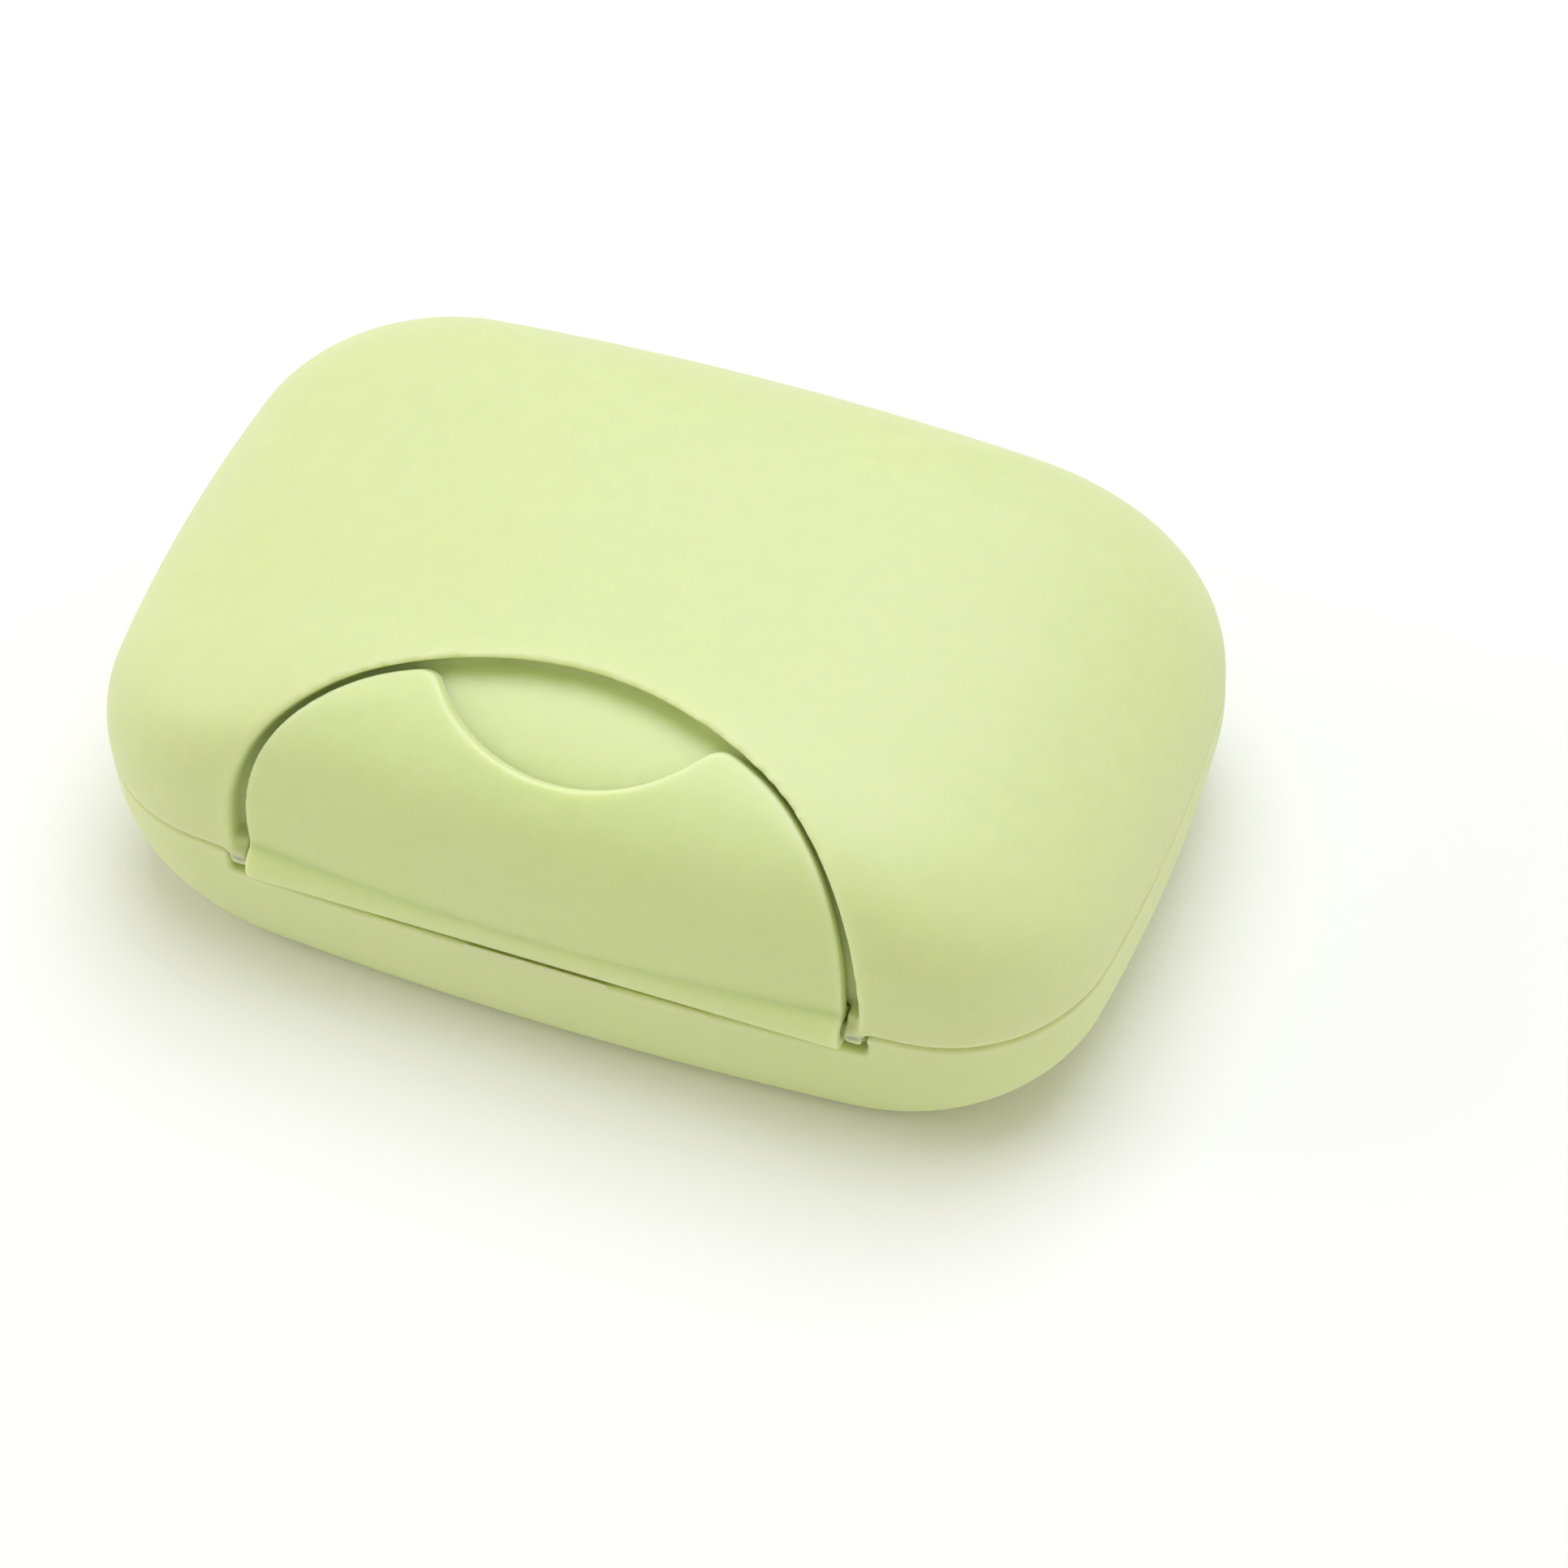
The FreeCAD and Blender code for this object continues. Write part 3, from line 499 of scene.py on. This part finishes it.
# %% [markdown]
# ## Painted highlight on the edges, painted shade in the hollows
# On pale moulded plastic the rounded edges look lighter, because light catches them and goes
# through the thin material there; that light is painted into the colour as a painted highlight.
# How far a corner stands out from its neighbours tells how round the place is. The number is
# kept on the mesh as an attribute that the material can read, and with its sign turned it
# marks the hollows, where the colour is darkened as painted shade.

# %% Keep the painted highlight and painted shade masks on each piece
MASK_ROUNDS = 3
MASK_SOFTENING = 2
FULL_EDGE = 0.5
CLEAR_EDGE = 0.3


def keep_painted_light_masks(piece):
    mesh = piece.data
    points = corners_of(mesh)
    edges = edges_of(mesh)
    spread = points.copy()
    for _ in range(MASK_ROUNDS):
        spread = neighbour_mean(spread, edges)
    proud = ((points - spread) * normals_of(mesh)).sum(axis=1)
    lengths = np.linalg.norm(points[edges[:, 0]] - points[edges[:, 1]], axis=1)
    mask = np.clip(proud / (lengths.mean() * FULL_EDGE), -1, 1)
    for _ in range(MASK_SOFTENING):
        mask = neighbour_mean(np.repeat(mask[:, None], 3, axis=1), edges)[:, 0]
    # The "edge" attribute marks where a highlight is painted, the "hollow" attribute where shade is
    # painted.
    for name, value in (("edge", mask), ("hollow", -mask)):
        layer = mesh.attributes.new(name, "FLOAT", "POINT")
        layer.data.foreach_set("value", np.clip(value, 0, 1).astype(np.float32))
    print(piece.name, "edge share", round(float((mask > CLEAR_EDGE).mean()), 3))


for piece in (lid, base, flap, tray):
    keep_painted_light_masks(piece)

# %% [markdown]
# ## Each piece moves with its body
# The lid's skin has to swing with the lid and the tray's with the tray. Riding a body does
# that, and naming the node that a piece replaces hides the plain solid behind it.

# %% Tie the pieces to their bodies
for piece, node, body in (
    (lid, "lid_shell", "lid"),
    (base, "base_shell", "base"),
    (flap, "latch_flap", "latch"),
    (tray, "drain_tray", "tray"),
):
    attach(piece, body)
    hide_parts(node)
    print(piece.name, "rides", body)

# %% [markdown]
# ## Satin plastic
# The plastic is a pale lime polypropylene with a fine moulded texture. Noise of three sizes
# makes it: a slow one that drifts the colour over a few centimetres, a mottle of a few
# millimetres, and a grain finer than a millimetre that breaks up the shine. The shared
# group puts out only the colour, roughness and normal. The colour varies with the noise and
# carries a painted highlight on the rounded edges and painted shade in the hollows. The
# shader itself stays in each material.

# %% Parts of the shared group
SLOW_SCALE = 38.0
MOTTLE_SCALE = 420.0
GRAIN_SCALE = 2600.0
NOISE_LOW = 0.3
NOISE_HIGH = 0.7
MIX_FIRST = 6
MIX_SECOND = 7
MIX_RESULT = 2


def noise(tree, place, scale, detail):
    node = add(tree, "ShaderNodeTexNoise", {"Vector": place, "Scale": scale, "Detail": detail})
    return node.outputs["Fac"]


def spread_out(tree, value, low, high):
    """The middle range of a noise, stretched to run from low to high."""
    node = add(tree, "ShaderNodeMapRange", {
        "Value": value,
        "From Min": NOISE_LOW,
        "From Max": NOISE_HIGH,
        "To Min": low,
        "To Max": high,
    })
    return node.outputs["Result"]


def tint(tree, colour, mask, other):
    """The colour, turning into the other one where the mask is 1."""
    node = tree.nodes.new("ShaderNodeMix")
    node.data_type = "RGBA"
    put(tree, mask, node.inputs["Factor"])
    put(tree, colour, node.inputs[MIX_FIRST])
    put(tree, other, node.inputs[MIX_SECOND])
    return node.outputs[MIX_RESULT]


# %% The shared group of skin texture, painted highlight and painted shade


def painted_light_and_skin_group():
    tree = bpy.data.node_groups.new("painted light and skin texture", "ShaderNodeTree")
    ports = tree.interface
    for name in ("Colour", "Edge Colour", "Hollow Colour"):
        ports.new_socket(name, in_out="INPUT", socket_type="NodeSocketColor")
    for name in ("Edge", "Hollow"):
        ports.new_socket(name, in_out="INPUT", socket_type="NodeSocketFloat")
    ports.new_socket("Colour", in_out="OUTPUT", socket_type="NodeSocketColor")
    ports.new_socket("Roughness", in_out="OUTPUT", socket_type="NodeSocketFloat")
    ports.new_socket("Normal", in_out="OUTPUT", socket_type="NodeSocketVector")
    given = tree.nodes.new("NodeGroupInput").outputs
    place = tree.nodes.new("ShaderNodeTexCoord").outputs["Object"]
    slow = noise(tree, place, SLOW_SCALE, detail=3.0)
    mottle = noise(tree, place, MOTTLE_SCALE, detail=4.0)
    grain = noise(tree, place, GRAIN_SCALE, detail=2.0)
    tone = add(tree, "ShaderNodeHueSaturation", {
        "Color": given["Colour"],
        "Saturation": spread_out(tree, slow, 0.96, 1.04),
        "Value": spread_out(tree, mottle, 0.985, 1.015),
    })
    # Painted highlight: the colour turns lighter where the edge mask is high.
    with_painted_highlight = tint(tree, tone.outputs["Color"], given["Edge"], given["Edge Colour"])
    ripple = add(tree, "ShaderNodeBump", {"Strength": 0.12, "Distance": 0.25 * MM, "Height": mottle})
    tooth = add(tree, "ShaderNodeBump", {
        "Strength": 0.10,
        "Distance": 0.04 * MM,
        "Height": grain,
        "Normal": ripple.outputs["Normal"],
    })
    # Painted shade: the colour turns darker where the hollow mask is high.
    add(tree, "NodeGroupOutput", {
        "Colour": tint(tree, with_painted_highlight, given["Hollow"], given["Hollow Colour"]),
        "Roughness": spread_out(tree, mottle, 0.44, 0.54),
        "Normal": tooth.outputs["Normal"],
    })
    return tree


PAINTED_LIGHT_AND_SKIN = painted_light_and_skin_group()
print("skin group:", len(PAINTED_LIGHT_AND_SKIN.nodes), "nodes")

# %% [markdown]
# ## One plastic for each kind of piece
# Lid and base share one batch of plastic. The flap, the tray and the pins are moulded apart.
# The flap and the tray each have a slightly different tone, and the pins, of the same lime, are
# coloured the much darker green of the lime in shade, which is painted shade. A little light
# passes below the surface, which softens the shade in the narrow gaps.

# %% Materials of the pieces


# Each material takes its colour, a painted highlight colour for rounded edges and a painted shade
# colour for creases and gaps.
def satin_plastic(name, colour, painted_highlight_colour, painted_shade_colour):
    material = bpy.data.materials.new(name)
    material.use_nodes = True
    tree = material.node_tree
    shader = tree.nodes["Principled BSDF"]
    shader.inputs["Subsurface Weight"].default_value = 0.7
    shader.inputs["Subsurface Radius"].default_value = (1.0, 1.0, 0.45)
    shader.inputs["Subsurface Scale"].default_value = 2.5 * MM
    shader.inputs["IOR"].default_value = 1.49
    skin = tree.nodes.new("ShaderNodeGroup")
    skin.node_tree = PAINTED_LIGHT_AND_SKIN
    skin.inputs["Colour"].default_value = (*colour, 1)
    skin.inputs["Edge Colour"].default_value = (*painted_highlight_colour, 1)
    skin.inputs["Hollow Colour"].default_value = (*painted_shade_colour, 1)
    # The edge mask paints a highlight on rounded edges, the hollow mask paints shade in creases and
    # gaps.
    for mask in ("edge", "hollow"):
        attribute = tree.nodes.new("ShaderNodeAttribute")
        attribute.attribute_name = mask
        put(tree, attribute.outputs["Fac"], skin.inputs[mask.title()])
    put(tree, skin.outputs["Colour"], shader.inputs["Base Color"])
    put(tree, skin.outputs["Roughness"], shader.inputs["Roughness"])
    put(tree, skin.outputs["Normal"], shader.inputs["Normal"])
    return material


LIME = (0.68, 0.755, 0.375)
FLAP_LIME = (0.68, 0.765, 0.37)
TRAY_LIME = (0.70, 0.77, 0.42)
# The pins' lime as it looks in shade: painted shade.
PIN_LIME_IN_PAINTED_SHADE = (0.50, 0.60, 0.22)
# Painted highlight colour for the rounded edges.
LIME_PAINTED_HIGHLIGHT = (0.80, 0.87, 0.56)
# Painted shade colour for creases, hollows and narrow gaps.
LIME_PAINTED_SHADE = (0.64, 0.73, 0.34)
case_plastic = satin_plastic("case plastic", LIME, LIME_PAINTED_HIGHLIGHT, LIME_PAINTED_SHADE)
flap_plastic = satin_plastic("flap plastic", FLAP_LIME, LIME_PAINTED_HIGHLIGHT, LIME_PAINTED_SHADE)
tray_plastic = satin_plastic("tray plastic", TRAY_LIME, LIME_PAINTED_HIGHLIGHT, LIME_PAINTED_SHADE)
# The pins wear the lime in painted shade, with the plain lime as their painted highlight colour.
pin_material_in_painted_shade = satin_plastic("pin material in painted shade", PIN_LIME_IN_PAINTED_SHADE, LIME, LIME_PAINTED_SHADE)

# %% Dress the pieces and the pins
for piece, material, slot_name in (
    (lid, case_plastic, "case_plastic"),
    (base, case_plastic, "case_plastic"),
    (flap, flap_plastic, "flap_plastic"),
    (tray, tray_plastic, "tray_plastic"),
):
    piece.data.materials.clear()
    piece.data.materials.append(material)
    print(piece.name, "wears", material.name)
# The pins get the darker green, which is painted shade.
for node in ("latch_pin", "hinge_pin_left", "hinge_pin_right"):
    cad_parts[node].material_slots[0].material = pin_material_in_painted_shade

# %% Grow the ribs and tie them to the tray
ribs = grown("tray_ribs", rib_row_tree(), {
    "Count": RIB_COUNT,
    "Pitch": RIB_PITCH,
    "Length": RIB_LENGTH,
    "Width": RIB_WIDTH,
    "Rise": RIB_RISE,
    "Height": TRAY_TOP,
    "Finish": tray_plastic,
})
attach(ribs, "tray")
print("ribs:", len(ribs.data.polygons), "faces")

# %% [markdown]
# ## A white table and soft light
# The picture was taken on a white sweep, almost without a shadow. A wide light above and
# a little behind gives the lid its calm top, and weaker ones fill the left and the right.
# An even sky does the rest. The camera sees plain white behind the floor.

# %% Floor
FLOOR_HALF_SIDE = 3.0


def floor_plane(half_side):
    mesh = bpy.data.meshes.new("table")
    corners = [(-half_side, -half_side, 0), (half_side, -half_side, 0),
               (half_side, half_side, 0), (-half_side, half_side, 0)]
    mesh.from_pydata(corners, [], [(0, 1, 2, 3)])
    table = bpy.data.objects.new("table", mesh)
    bpy.context.scene.collection.objects.link(table)
    paper = bpy.data.materials.new("white paper")
    paper.use_nodes = True
    shader = paper.node_tree.nodes["Principled BSDF"]
    shader.inputs["Base Color"].default_value = (0.94, 0.94, 0.92, 1)
    shader.inputs["Roughness"].default_value = 0.9
    shader.inputs["Specular IOR Level"].default_value = 0.1
    mesh.materials.append(paper)


floor_plane(FLOOR_HALF_SIDE)
print("floor", FLOOR_HALF_SIDE * 2, "m wide")

# %% Lights
LIGHT_AIM = Vector((0, 0, 0.02))


def soft_light(name, place, size, power, colour=(1, 1, 1)):
    data = bpy.data.lights.new(name, "AREA")
    data.shape = "DISK"
    data.size = size
    data.energy = power
    data.color = colour
    light = bpy.data.objects.new(name, data)
    light.location = place
    light.rotation_euler = (LIGHT_AIM - Vector(place)).to_track_quat("-Z", "Y").to_euler()
    bpy.context.scene.collection.objects.link(light)
    print(name, power, "W")


soft_light("top light", place=(0.02, 0.22, 0.75), size=0.7, power=3.6, colour=(1.0, 1.0, 1.25))
soft_light("left fill", place=(-0.75, -0.2, 0.4), size=0.5, power=1.5)
soft_light("right fill", place=(0.7, -0.2, 0.4), size=0.5, power=0.5)

# %% Sky


def studio_sky():
    """A pale room that lights the box, and plain white where the camera looks past it."""
    world = bpy.data.worlds.new("studio sky")
    world.use_nodes = True
    tree = world.node_tree
    tree.nodes.clear()
    room = add(tree, "ShaderNodeBackground", {"Color": (1.0, 1.0, 0.78, 1), "Strength": 0.52})
    seen = add(tree, "ShaderNodeBackground", {"Color": (1.0, 1.0, 0.985, 1)})
    ray = tree.nodes.new("ShaderNodeLightPath")
    pick = tree.nodes.new("ShaderNodeMixShader")
    put(tree, ray.outputs["Is Camera Ray"], pick.inputs[0])
    put(tree, room.outputs["Background"], pick.inputs[1])
    put(tree, seen.outputs["Background"], pick.inputs[2])
    add(tree, "ShaderNodeOutputWorld", {"Surface": pick.outputs["Shader"]})
    return world


bpy.context.scene.world = studio_sky()
print("sky:", bpy.context.scene.world.name)

# %% [markdown]
# ## The camera's place
# The place was found by matching the case's outline and its seam with the picture: about
# 0.6 m away, looking down at half a right angle from the front right, and tipped a few
# degrees. A long lens keeps the far side almost as wide as the near one.

# %% Camera
AZIMUTH = math.radians(27.02)
ELEVATION = math.radians(50.76)
ROLL = math.radians(-6.17)
DISTANCE = 0.592
AIM = Vector((0, 0, 0.022))
right = Vector((math.cos(AZIMUTH), math.sin(AZIMUTH), 0))
look = Vector((
    -math.sin(AZIMUTH) * math.cos(ELEVATION),
    math.cos(AZIMUTH) * math.cos(ELEVATION),
    -math.sin(ELEVATION),
))
up = right.cross(look)
axis_x = math.cos(ROLL) * right + math.sin(ROLL) * up
axis_y = -math.sin(ROLL) * right + math.cos(ROLL) * up
camera_data = bpy.data.cameras.new("camera")
camera_data.sensor_width = 36
camera_data.lens = 121.8
camera_data.shift_x = 0.0768
camera_data.shift_y = -0.0655
camera = bpy.data.objects.new("camera", camera_data)
turn = Matrix((axis_x, axis_y, -look)).transposed().to_4x4()
camera.matrix_world = Matrix.Translation(AIM - look * DISTANCE) @ turn
bpy.context.scene.collection.objects.link(camera)
bpy.context.scene.camera = camera
bpy.context.scene.view_settings.view_transform = "Standard"
print("camera", DISTANCE, "m away")
